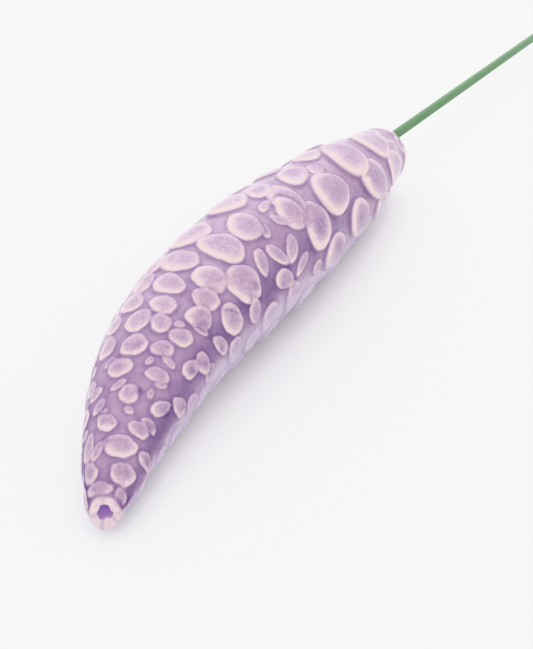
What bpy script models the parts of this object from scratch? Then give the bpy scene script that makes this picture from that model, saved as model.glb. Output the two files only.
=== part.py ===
"""Lavender flower spike: a glazed ceramic spike covered in pressed clay discs, on a coated wire stem.

The spike lies on its side with its stem along +X, its tip at -X curling towards -Y, and +Z up. The origin is the
bottom centre of the whole object's box.
"""
import math
import random

import bpy
import numpy as np

MM = 0.001

# Spike: lengths run along its axis from the rim of the tip, and girths reach the tops of the discs.
HEAD_LENGTH = 97.4 * MM
CAP_LENGTH = 5.6 * MM
GIRTH = (
    (0.0, 2.3), (2.0, 3.25), (5.0, 4.35), (10.0, 5.65), (19.5, 8.0), (31.0, 9.65),
    (43.5, 10.5), (56.0, 10.75), (70.0, 10.0), (80.0, 9.4), (92.0, 7.2), (97.4, 6.1),
)
BEND_LENGTH = 36.0 * MM
BEND = math.radians(31.5)
HEAD_TURN = math.radians(3.1)
HEAD_FALL = math.tan(math.radians(2.4))
SETTLE = 0.35 * MM
TIP_LIFT = 1.5 * MM
TIP_LIFT_LENGTH = 18.0 * MM
TIP_TILT = math.radians(28.0)
TIP_TILT_LENGTH = 9.0 * MM
RIM_RADIUS = 1.6 * MM
RIM_PROUD = 0.25 * MM
DIMPLE_RADIUS = 1.15 * MM
DIMPLE_DEPTH = 1.5 * MM

# Discs: pellets of clay pressed on to the body, bigger towards the base.
DISC_AT_TIP = 3.2 * MM
DISC_AT_BASE = 8.2 * MM
DISC_RISE = 0.2 * MM
DISC_RELIEF = 0.085
DISC_EDGE = 0.3
DISC_DISH = 0.22
DISC_WOBBLE = 0.06
DISC_STEP = 0.3
DISC_SPACING = 1.02
CRUMB_SHARE = 0.42
DISC_TRIES = 5000
CRUMB_TRIES = 2500
SEED = 11

# Discs of the side that shows, as pressed on, from the tip to the base: how far along the spike (mm), bearing round
# it from straight up towards the inside of the bend (degrees), size across and along (mm), and turn (degrees).
SHOWN_DISCS = (
    (1.3, -28, 3.4, 2.6, -10), (1.6, 48, 2.0, 2.0, 20), (2.6, -32, 2.8, 2.2, 29), (2.8, 32, 3.4, 2.9, 22),
    (5.6, -26, 1.3, 3.0, -30), (6.2, 15, 4.2, 3.3, 20), (6.4, -46, 1.8, 4.0, -11), (6.4, 68, 3.1, 2.0, -5),
    (9.2, -16, 2.9, 2.2, -20), (9.2, 34, 2.8, 2.1, 0), (10.4, -25, 1.8, 0.9, 44), (10.4, 46, 2.6, 1.6, -17),
    (11.1, 12, 1.4, 1.0, -14), (11.5, -33, 1.4, 2.5, -44), (13.0, 6, 2.6, 2.5, 12), (13.2, 50, 1.8, 3.4, -40),
    (13.4, -43, 2.4, 1.5, 32), (14.0, -10, 2.4, 1.0, 35), (14.0, 31, 0.9, 1.4, 8), (14.7, -58, 2.8, 2.1, -13),
    (15.7, 38, 1.9, 0.9, 27), (15.7, 74, 3.5, 2.3, 17), (16.2, -14, 3.5, 2.6, 19), (16.6, 30, 3.4, 1.9, 19),
    (17.0, -28, 2.1, 1.3, 16), (17.8, 16, 0.9, 1.4, -28), (18.3, 90, 2.9, 3.1, 20), (18.9, 35, 2.2, 1.2, -13),
    (19.3, -6, 3.9, 3.0, 21), (19.5, -41, 3.6, 3.0, -41), (20.0, 23, 3.4, 2.2, 24), (20.4, 59, 2.4, 3.2, -15),
    (22.9, -13, 3.5, 3.8, -20), (22.9, 34, 3.5, 2.7, 37), (22.9, 68, 3.6, 2.6, 6), (23.1, -46, 4.2, 2.8, -38),
    (23.3, 10, 3.0, 2.9, -15), (23.6, 83, 2.3, 2.9, 8), (24.4, 26, 1.7, 1.0, 30), (25.9, 46, 2.7, 1.1, 23),
    (26.1, -32, 4.4, 3.3, -29), (26.1, 3, 3.8, 3.1, -9), (27.2, 38, 3.4, 4.4, -31), (27.6, 72, 4.0, 2.2, 31),
    (29.7, -4, 4.7, 3.9, -11), (29.9, -34, 4.8, 3.6, -43), (30.3, 33, 4.1, 3.6, 43), (31.8, 63, 5.0, 4.3, 35),
    (33.5, 24, 4.6, 5.2, -34), (33.9, -39, 3.6, 5.2, 42), (34.3, -12, 6.0, 4.9, -10), (36.9, 74, 3.4, 2.9, -36),
    (37.3, 48, 6.3, 5.8, 38), (39.6, 12, 6.8, 5.7, 12), (40.5, -26, 6.2, 7.0, 17), (42.4, 45, 4.4, 2.3, -25),
    (44.9, 71, 3.1, 4.4, -22), (45.5, 12, 6.0, 5.5, -31), (45.8, 50, 4.9, 2.2, 25), (47.2, 29, 1.5, 2.6, 35),
    (49.1, 55, 2.5, 4.9, 38), (50.0, 72, 1.7, 5.0, 27), (50.2, -24, 6.5, 8.0, 25), (50.8, 28, 2.9, 1.4, 17),
    (51.7, 10, 1.6, 3.4, 15), (54.0, 30, 6.3, 5.3, -36), (54.2, 88, 2.5, 2.9, -7), (55.5, -9, 4.1, 5.4, 30),
    (56.1, 17, 7.4, 6.0, -34), (57.4, 54, 6.2, 8.7, 41), (57.6, 2, 1.4, 2.6, 17), (60.6, 90, 6.2, 8.0, 0),
    (63.9, -1, 5.2, 7.6, 20), (66.1, 39, 7.2, 10.4, 12), (68.8, 8, 2.8, 3.8, 17), (71.1, 84, 6.8, 8.8, -13),
    (73.8, -20, 4.6, 8.0, 20), (77.9, 17, 8.6, 9.8, 32), (80.2, 59, 7.2, 10.4, -20), (82.0, 100, 5.6, 8.4, -15),
    (89.6, 18, 7.6, 8.8, 0), (91.6, 74, 6.2, 8.2, 0), (94.0, 44, 3.6, 5.0, 0), (94.5, -14, 5.0, 5.4, 0),
)
SHOWN_TO = 92.0
SHOWN_FROM_TIP = -55.0
SHOWN_FROM_MIDDLE = -30.0
SHOWN_MIDDLE = 45.0 * MM

# Stem: a coated wire glued into a blind socket in the base end, a little above the axis of the spike.
STEM_LENGTH = 205.0 * MM
STEM_OFFSET = 1.4 * MM
STEM_RAISE = 0.75 * MM
STEM_CLEAR = 0.05 * MM
COATING_RADIUS = 1.0 * MM
COATING_BORE = 0.65 * MM
CORE_RADIUS = 0.55 * MM
CORE_PROUD = 0.15 * MM
SOCKET_RADIUS = 1.6 * MM
SOCKET_DEPTH = 22.0 * MM
SOCKET_LIP = 0.25 * MM
SOCKET_SPARE = 2.0 * MM
BOSS_RADIUS = 2.4 * MM
BOSS_BLEND = 4.5 * MM
GLUE_GAP = 0.12 * MM
GLUE_LENGTH = 16.0 * MM
BEAD_RADIUS = 2.1 * MM
BEAD_HEIGHT = 0.7 * MM

# Facets.
HEAD_SIDES = 52
HEAD_RINGS = 96
RING_CROWDING = 1.2
CAP_RINGS = 7
STEM_SIDES = 16
PROFILE_STEPS = 400
MERGE = 0.00001


def clear_scene():
    """Remove every object that the file already holds."""
    for thing in list(bpy.data.objects):
        bpy.data.objects.remove(thing)


def ease(x):
    """Smooth step: 0 below 0, 1 above 1."""
    x = np.clip(x, 0.0, 1.0)
    return x * x * (3.0 - 2.0 * x)


def girth(s):
    """Radius over the discs at the axial places s: a cubic through GIRTH with the slopes of its chords."""
    place, size = (MM * np.array(column) for column in zip(*GIRTH))
    slope = np.gradient(size, place)
    s = np.clip(s, place[0], place[-1])
    i = np.clip(np.searchsorted(place, s) - 1, 0, len(place) - 2)
    step = place[i + 1] - place[i]
    u = (s - place[i]) / step
    start = (1.0 + 2.0 * u) * (1.0 - u) ** 2 * size[i] + u * (1.0 - u) ** 2 * step * slope[i]
    end = u * u * (3.0 - 2.0 * u) * size[i + 1] - u * u * (1.0 - u) * step * slope[i + 1]
    return start + end


def disc_size(s):
    """Usual disc size at the axial places s."""
    return DISC_AT_TIP + (DISC_AT_BASE - DISC_AT_TIP) * np.clip(s / HEAD_LENGTH, 0.0, 1.0)


def disc_height(size):
    """How far a disc of a size stands over the skin."""
    return DISC_RISE + DISC_RELIEF * size


def skin_radius(s):
    """Radius of the bare body between the discs at the axial places s."""
    return girth(s) - disc_height(disc_size(s))


def skin_profile(t):
    """Axial place and radius after a way t along the skin: the body, then a quarter ellipse round the base end."""
    base_radius = skin_radius(np.array(HEAD_LENGTH))
    turn = np.clip((t - HEAD_LENGTH) / CAP_LENGTH, 0.0, math.pi / 2.0)
    on_body = t <= HEAD_LENGTH
    s = np.where(on_body, t, HEAD_LENGTH + CAP_LENGTH * np.sin(turn))
    r = np.where(on_body, skin_radius(t), base_radius * np.cos(turn))
    return s, r


def axis_height(s):
    """Height of the spike's axis: the belly lies on the surface, the tip is lifted and the base half falls."""
    middle = 0.5 * HEAD_LENGTH
    before = np.minimum(girth(np.minimum(s, middle)), girth(np.array(middle)))
    lift = TIP_LIFT * np.clip(1.0 - s / TIP_LIFT_LENGTH, 0.0, None) ** 2
    return before - SETTLE + lift - HEAD_FALL * np.clip(s - middle, 0.0, None)


def axis_frame(s):
    """Centre, sideways and upward directions of the section at s: straight base half, then one plan arc."""
    curl = BEND / BEND_LENGTH
    into = np.clip(BEND_LENGTH - s, 0.0, None)
    heading = HEAD_TURN + curl * into
    straight = np.maximum(s, BEND_LENGTH) - HEAD_LENGTH
    x = straight * math.cos(HEAD_TURN) - (np.sin(heading) - math.sin(HEAD_TURN)) / curl
    y = straight * math.sin(HEAD_TURN) + (np.cos(heading) - math.cos(HEAD_TURN)) / curl
    x = x + STEM_OFFSET * math.sin(HEAD_TURN)
    y = y - STEM_OFFSET * math.cos(HEAD_TURN)
    tilt = TIP_TILT * np.clip(1.0 - s / TIP_TILT_LENGTH, 0.0, 1.0) ** 2
    level = np.zeros_like(s)
    centre = np.stack([x, y, axis_height(s)], axis=-1)
    side = np.stack([np.sin(heading), -np.cos(heading), level], axis=-1)
    up = np.stack([np.cos(heading) * np.sin(tilt), np.sin(heading) * np.sin(tilt), np.cos(tilt)], axis=-1)
    return centre, side, up


def stem_axis():
    """Start at the base end's station and unit direction of the stem, whose cut end comes down to the surface."""
    height = float(axis_height(np.array(HEAD_LENGTH))) + STEM_RAISE
    run = CAP_LENGTH + STEM_LENGTH
    fall = math.atan2(height - COATING_RADIUS - STEM_CLEAR, run)
    return np.array([0.0, 0.0, height]), np.array([math.cos(fall), 0.0, -math.sin(fall)])


def stem_place(along, sideways, upward):
    """Points given along the stem's axis, sideways towards -Y and upward across it."""
    start, direction = stem_axis()
    side = np.array([0.0, -1.0, 0.0])
    up = np.cross(side, direction)
    return start + np.multiply.outer(along, direction) + np.multiply.outer(sideways, side) \
        + np.multiply.outer(upward, up)


def is_shown(s, bearing):
    """True on the side whose discs are placed one by one."""
    start = SHOWN_FROM_MIDDLE + (SHOWN_FROM_TIP - SHOWN_FROM_MIDDLE) * max(0.0, 1.0 - s / SHOWN_MIDDLE)
    return start < bearing < SHOWN_TO


def make_discs():
    """All discs as (way along the skin, bearing, across, along, turn) in metres and radians, base end first.

    The hidden side is strewn by a seeded draw: full discs that keep their distance, then crumbs between them.
    """
    draw = random.Random(SEED)
    discs = [(t * MM, math.radians(b), w * MM, h * MM, math.radians(a)) for t, b, w, h, a in SHOWN_DISCS]
    end = HEAD_LENGTH + 0.75 * CAP_LENGTH * math.pi / 2.0
    ways = np.linspace(0.0, end, PROFILE_STEPS)
    radii = skin_profile(ways)[1]
    for tries, share in ((DISC_TRIES, 1.0), (CRUMB_TRIES, CRUMB_SHARE)):
        for _ in range(tries):
            t = draw.uniform(1.5 * MM, end)
            bearing = draw.uniform(-180.0, 180.0)
            mean = share * float(disc_size(t)) * draw.uniform(0.82, 1.12)
            stretch = math.sqrt(draw.uniform(1.0, 1.3))
            new = (t, math.radians(bearing), mean * stretch, mean / stretch, draw.uniform(-0.7, 0.7))
            hidden = t > HEAD_LENGTH or not is_shown(t, bearing)
            if hidden and is_clear(new, np.array(discs), float(np.interp(t, ways, radii))):
                discs.append(new)
    return sorted(discs, key=lambda disc: -disc[0])


def is_clear(new, discs, radius):
    """True if a disc keeps its distance, on the unrolled skin, from those already placed."""
    turn = (discs[:, 1] - new[1] + math.pi) % (2.0 * math.pi) - math.pi
    reach = 0.25 * (new[2] + new[3] + discs[:, 2] + discs[:, 3])
    return bool(np.all(np.hypot(turn * radius, discs[:, 0] - new[0]) > DISC_SPACING * reach))


def skin_patch(t, bearing):
    """Point and outward, across and along directions of the straight body's skin."""
    s, r = skin_profile(np.array([t, t + 0.1 * MM]))
    slant = math.atan2(r[1] - r[0], s[1] - s[0])
    out = np.array([0.0, math.sin(bearing), math.cos(bearing)])
    across = np.array([0.0, math.cos(bearing), -math.sin(bearing)])
    axial = np.array([1.0, 0.0, 0.0])
    point = s[0] * axial + r[0] * out
    along = math.cos(slant) * axial + math.sin(slant) * out
    return point, math.cos(slant) * out - math.sin(slant) * axial, across, along


def disc_relief(points, normals, discs):
    """Height of the discs over the skin at points of the straight body.

    A disc is a flat pellet: a rounded shoulder, a slightly dished top and an outline with two small waves. A disc
    nearer the tip lies over its neighbours, lifted by a share of their height.
    """
    draw = random.Random(SEED + 1)
    height = np.zeros(len(points))
    for t, bearing, across_size, along_size, turn in discs:
        centre, outward, across, along = skin_patch(t, bearing)
        offset = points - centre
        u, v = offset @ across, offset @ along
        x = (u * math.cos(turn) + v * math.sin(turn)) / (0.5 * across_size)
        y = (v * math.cos(turn) - u * math.sin(turn)) / (0.5 * along_size)
        angle = np.arctan2(y, x)
        wave = np.cos(2.0 * (angle - draw.uniform(0.0, 6.28))) + np.cos(3.0 * (angle - draw.uniform(0.0, 6.28)))
        reach = np.hypot(x, y) * (1.0 + DISC_WOBBLE * wave)
        shoulder = np.sqrt(1.0 - np.clip((reach - 1.0 + DISC_EDGE) / DISC_EDGE, 0.0, 1.0) ** 2)
        dish = 1.0 - DISC_DISH * np.clip(1.0 - reach ** 2, 0.0, 1.0)
        inside = (reach < 1.0) & (normals @ outward > 0.3)
        pellet = disc_height(math.sqrt(across_size * along_size)) * shoulder * dish
        height = np.where(inside, np.maximum(height, pellet + DISC_STEP * height), height)
    return height


def head_outline():
    """Half section of the straight spike as (radius, height) pairs, from the dimple to the socket's bottom."""
    ways = HEAD_LENGTH * (np.arange(1, HEAD_RINGS + 1) / HEAD_RINGS) ** RING_CROWDING
    boss_turn = math.acos(BOSS_RADIUS / float(skin_radius(np.array(HEAD_LENGTH))))
    cap_ways = HEAD_LENGTH + CAP_LENGTH * boss_turn * np.arange(1, CAP_RINGS + 1) / CAP_RINGS
    skin_s, skin_r = skin_profile(np.concatenate([ways, cap_ways]))
    end = float(skin_s[-1])
    mouth = SOCKET_RADIUS + SOCKET_LIP
    tip = [
        (0.0, DIMPLE_DEPTH), (0.6 * DIMPLE_RADIUS, 0.92 * DIMPLE_DEPTH), (DIMPLE_RADIUS, 0.5 * DIMPLE_DEPTH),
        (0.5 * (DIMPLE_RADIUS + RIM_RADIUS), 0.0), (RIM_RADIUS, -RIM_PROUD),
        (float(skin_radius(np.array(0.0))), 0.1 * MM),
    ]
    socket = [
        (mouth, end), (SOCKET_RADIUS, end - SOCKET_LIP), (SOCKET_RADIUS, end - 0.5 * SOCKET_DEPTH),
        (SOCKET_RADIUS, end - SOCKET_DEPTH), (0.0, end - SOCKET_DEPTH),
    ]
    outline = tip + list(zip(skin_r.tolist(), skin_s.tolist())) + socket
    return [(r, -s) for r, s in outline], end


def turned_object(name, outline, closed, sides, collection):
    """Object whose mesh is the outline, in (radius, height) pairs, turned about Z by a Screw modifier."""
    mesh = bpy.data.meshes.new(name)
    count = len(outline)
    edges = [(i, (i + 1) % count) for i in range(count if closed else count - 1)]
    mesh.from_pydata([(r, 0.0, z) for r, z in outline], edges, [])
    thing = bpy.data.objects.new(name, mesh)
    collection.objects.link(thing)
    screw = thing.modifiers.new("Turn", "SCREW")
    screw.axis = "Z"
    screw.steps = sides
    screw.render_steps = sides
    screw.use_merge_vertices = True
    screw.merge_threshold = MERGE
    screw.use_smooth_shade = True
    return thing


def fix_turned_mesh(thing):
    """Put the turned surface in the object's own mesh, and give its points and normals as arrays."""
    bpy.context.view_layer.update()
    graph = bpy.context.evaluated_depsgraph_get()
    mesh = bpy.data.meshes.new_from_object(thing.evaluated_get(graph), depsgraph=graph)
    thing.modifiers.clear()
    thing.data = mesh
    points = np.empty(3 * len(mesh.vertices))
    mesh.vertices.foreach_get("co", points)
    normals = np.empty(3 * len(mesh.vertices))
    mesh.vertex_normals.foreach_get("vector", normals)
    return mesh, points.reshape(-1, 3), normals.reshape(-1, 3)


def set_points(mesh, points):
    """Move the mesh's vertices to the given places."""
    mesh.vertices.foreach_set("co", points.astype(np.float32).ravel())
    mesh.update()


def axial(vectors):
    """Turn (x, y, z) about Z into (axial, sideways, upward) of the straight spike."""
    return np.stack([-vectors[:, 2], -vectors[:, 1], vectors[:, 0]], axis=1)


def build_spike(collection):
    """Ceramic spike: the turned body with its discs raised, then bent and settled on the surface."""
    outline, end = head_outline()
    thing = turned_object("ceramic_spike", outline, False, HEAD_SIDES, collection)
    mesh, points, normals = fix_turned_mesh(thing)
    points, normals = axial(points), axial(normals)
    radius = np.hypot(points[:, 1], points[:, 2])
    near_stem = (points[:, 0] > 0.5 * HEAD_LENGTH) & (radius < BOSS_RADIUS + 0.5 * SOCKET_LIP)
    clear_of_tip = ease((points[:, 0] - 0.3 * MM) / (0.9 * MM))
    clear_of_boss = np.where(points[:, 0] > HEAD_LENGTH, ease((radius - BOSS_RADIUS) / MM), 1.0)
    relief = disc_relief(points, normals, make_discs()) * clear_of_tip * clear_of_boss
    points = points + np.where(near_stem, 0.0, relief)[:, None] * normals
    centre, side, up = axis_frame(points[:, 0])
    bent = centre + points[:, 1:2] * side + points[:, 2:3] * up
    straight = stem_place(points[:, 0] - HEAD_LENGTH, points[:, 1], points[:, 2])
    to_stem = ease((BOSS_BLEND - radius) / (BOSS_BLEND - BOSS_RADIUS)) * (points[:, 0] > HEAD_LENGTH)
    to_stem = np.where(near_stem, 1.0, to_stem)[:, None]
    placed = (1.0 - to_stem) * bent + to_stem * straight
    placed[:, 2] = np.maximum(placed[:, 2], 0.0)
    set_points(mesh, placed)
    mesh.shade_smooth()
    mesh.set_sharp_from_angle(angle=math.radians(50.0))
    return thing, end - HEAD_LENGTH


def build_sleeve(name, outline, collection):
    """A ring or sleeve round the stem, from a closed (radius, way along the stem) outline."""
    thing = turned_object(name, [(r, -x) for r, x in outline], True, STEM_SIDES, collection)
    mesh, points, _ = fix_turned_mesh(thing)
    points = axial(points)
    set_points(mesh, stem_place(points[:, 0], points[:, 1], points[:, 2]))
    mesh.shade_smooth()
    mesh.set_sharp_from_angle(angle=math.radians(50.0))
    return thing


def build_coating(socket_bottom, collection):
    """Green sleeve of the stem wire."""
    start = socket_bottom + SOCKET_SPARE
    end = CAP_LENGTH + STEM_LENGTH
    corner = 0.12 * MM
    outline = [
        (COATING_BORE, start), (COATING_RADIUS - corner, start), (COATING_RADIUS, start + corner),
        (COATING_RADIUS, end - corner), (COATING_RADIUS - corner, end), (COATING_BORE, end),
    ]
    return build_sleeve("stem_coating", outline, collection)


def build_core(socket_bottom, collection):
    """Steel wire inside the sleeve."""
    ends = np.array([socket_bottom + SOCKET_SPARE, CAP_LENGTH + STEM_LENGTH + CORE_PROUD])
    curve = bpy.data.curves.new("stem_core", "CURVE")
    curve.dimensions = "3D"
    curve.bevel_depth = CORE_RADIUS
    curve.bevel_resolution = 4
    curve.use_fill_caps = True
    spline = curve.splines.new("POLY")
    spline.points.add(len(ends) - 1)
    for point, place in zip(spline.points, stem_place(ends, 0.0 * ends, 0.0 * ends)):
        point.co = (*place, 1.0)
    thing = bpy.data.objects.new("stem_core", curve)
    collection.objects.link(thing)
    return thing


def build_glue(mouth, collection):
    """Adhesive round the stem in the socket, with a bead that stands on the boss round the mouth."""
    inner = COATING_RADIUS + GLUE_GAP
    outer = SOCKET_RADIUS - GLUE_GAP
    foot = mouth + GLUE_GAP
    turns = np.linspace(0.0, math.pi / 2.0, 5)
    bead = [(inner + (BEAD_RADIUS - inner) * math.cos(a), foot + BEAD_HEIGHT * math.sin(a)) for a in turns]
    outline = [(inner, mouth - GLUE_LENGTH), (outer, mouth - GLUE_LENGTH), (outer, foot)] + bead
    return build_sleeve("glue_plug", outline, collection)


def finish(thing, name, colour, roughness, metallic):
    """Give an object its own material."""
    material = bpy.data.materials.new(name)
    material.use_nodes = True
    shader = material.node_tree.nodes["Principled BSDF"]
    shader.inputs["Base Color"].default_value = (*colour, 1.0)
    shader.inputs["Roughness"].default_value = roughness
    shader.inputs["Metallic"].default_value = metallic
    thing.data.materials.clear()
    thing.data.materials.append(material)


def stand_on_origin(things, collection):
    """Parent the pieces to an empty that moves the bottom centre of their box to the origin."""
    bpy.context.view_layer.update()
    graph = bpy.context.evaluated_depsgraph_get()
    points = np.array([
        vertex.co[:] for thing in things for vertex in thing.evaluated_get(graph).to_mesh().vertices
    ])
    low, high = points.min(axis=0), points.max(axis=0)
    base = bpy.data.objects.new("spike_base", None)
    base.location = (-0.5 * (low[0] + high[0]), -0.5 * (low[1] + high[1]), -low[2])
    collection.objects.link(base)
    for thing in things:
        thing.parent = base


def main():
    """Build the whole flower spike."""
    clear_scene()
    collection = bpy.data.collections.new("lavender_flower_spike")
    bpy.context.scene.collection.children.link(collection)
    spike, mouth = build_spike(collection)
    socket_bottom = mouth - SOCKET_DEPTH
    core = build_core(socket_bottom, collection)
    coating = build_coating(socket_bottom, collection)
    glue = build_glue(mouth, collection)
    finish(spike, "lilac_glaze", (0.44, 0.29, 0.5), 0.18, 0.0)
    finish(core, "wire_steel", (0.55, 0.55, 0.54), 0.35, 1.0)
    finish(coating, "green_plastic", (0.15, 0.33, 0.16), 0.4, 0.0)
    finish(glue, "clear_glue", (0.75, 0.72, 0.66), 0.3, 0.0)
    stand_on_origin([spike, core, coating, glue], collection)


main()
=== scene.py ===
"""Lavender flower spike: the looks of a glazed ceramic spike on a coated wire stem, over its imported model."""

import math
import random

import bpy
import numpy as np
from bpy.props import FloatProperty, FloatVectorProperty, IntProperty, PointerProperty
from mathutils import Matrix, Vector


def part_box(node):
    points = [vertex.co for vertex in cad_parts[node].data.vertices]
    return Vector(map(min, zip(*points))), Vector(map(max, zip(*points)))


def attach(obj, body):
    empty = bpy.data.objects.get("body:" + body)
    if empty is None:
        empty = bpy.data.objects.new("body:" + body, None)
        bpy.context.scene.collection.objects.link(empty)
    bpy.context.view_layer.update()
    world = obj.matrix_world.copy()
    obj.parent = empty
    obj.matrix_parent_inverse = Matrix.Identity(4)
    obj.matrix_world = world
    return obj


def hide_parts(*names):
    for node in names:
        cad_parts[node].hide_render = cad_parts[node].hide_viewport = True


bl_info = {
    "name": "Lavender flower spike",
    "version": (1, 0, 0),
    "blender": (4, 5, 0),
    "location": "3D View > Sidebar > Lavender",
    "description": "Builds the glazed ceramic lavender spike, its wire stem and the stage it is shown on",
    "category": "Add Mesh",
}

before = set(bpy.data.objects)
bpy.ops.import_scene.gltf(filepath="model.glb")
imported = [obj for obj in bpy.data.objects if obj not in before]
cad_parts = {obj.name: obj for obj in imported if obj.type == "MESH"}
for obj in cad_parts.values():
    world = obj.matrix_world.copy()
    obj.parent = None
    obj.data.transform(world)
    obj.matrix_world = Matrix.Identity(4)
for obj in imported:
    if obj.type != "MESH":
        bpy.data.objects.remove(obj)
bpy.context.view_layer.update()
MM = 0.001

# Spike, as in the solids: lengths run along its axis from the rim of the tip, and girths, as (place, radius)
# in mm, reach the tops of the discs.
HEAD_LENGTH = 97.4 * MM
CAP_LENGTH = 5.6 * MM
GIRTH = (
    (0.0, 2.3), (2.0, 3.25), (5.0, 4.35), (10.0, 5.65), (19.5, 8.0), (31.0, 9.65),
    (43.5, 10.5), (56.0, 10.75), (70.0, 10.0), (80.0, 9.4), (92.0, 7.2), (97.4, 6.1),
)
BEND_LENGTH = 36.0 * MM
BEND = math.radians(31.5)
HEAD_TURN = math.radians(3.1)
HEAD_FALL = math.tan(math.radians(2.4))
SETTLE = 0.35 * MM
TIP_LIFT = 1.5 * MM
TIP_LIFT_LENGTH = 18.0 * MM
TIP_TILT = math.radians(28.0)
TIP_TILT_LENGTH = 9.0 * MM

# Tip: a pinched ring round a hollow with three corners. A wave is its count round the ring, where it starts
# and its share.
HOLLOW_RADIUS = 0.9 * MM
HOLLOW_DEPTH = 0.75 * MM
HOLLOW_RAISE = 0.5 * MM
HOLLOW_CORNERS = 0.085
LIP_PROUD = 0.2 * MM
LIP_LUMPS = 0.13 * MM
LIP_WAVES = ((2.0, 1.9, 1.0), (5.0, -0.8, 0.7))
LUMPS_LENGTH = 3.0 * MM
TIP_NUDGE = 0.26 * MM
TIP_NUDGE_LENGTH = 3.5 * MM

# Discs: pellets of clay pressed on to the body, bigger towards the base, sunk together on the rounded end.
DISC_AT_TIP = 3.2 * MM
DISC_AT_BASE = 8.2 * MM
DISC_RISE = 0.2 * MM
DISC_RELIEF = 0.085
DISC_DISH = 0.16
DISC_TILT = 0.2
DISC_EDGE = 1.25 * MM
DISC_EDGE_SHARE = 0.75
DISC_WOBBLE = 0.045
DISC_STEP = 0.3
DISC_FACING = 0.3
DISC_REACH = 0.6
GROOVE_WIDTH = 0.36 * MM
GROOVE_SHARE = 0.6
END_SOFT = 0.6
END_SOFT_FROM = 80.0 * MM
END_SOFT_OVER = 18.0 * MM
END_FILL = 0.75 * MM

# Torn outlines: share of their waves by place along the spike (mm). A wave is its count round the disc, how
# far it turns with the disc's own turn and with its place (per metre), and its share.
TORN = ((0.0, 0.8), (40.0, 0.4), (60.0, 0.1), (105.0, 0.0))
TORN_WAVES = ((5.0, 7.0, 90.0, 1.0), (8.0, 5.0, 300.0, 0.6))

# Draw of the discs on the hidden side: their size as a share of the usual one, the most that they are stretched
# by, and the most that they turn (radians).
SEED = 11
DISC_SPACING = 1.02
DISC_TRIES = 5000
CRUMB_TRIES = 2500
CRUMB_SHARE = 0.42
STREWN_FROM = 1.5 * MM
STREWN_ON_END = 0.75
STREWN_SIZE = (0.82, 1.12)
STREWN_STRETCH = 1.3
STREWN_TURN = 0.7

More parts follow.
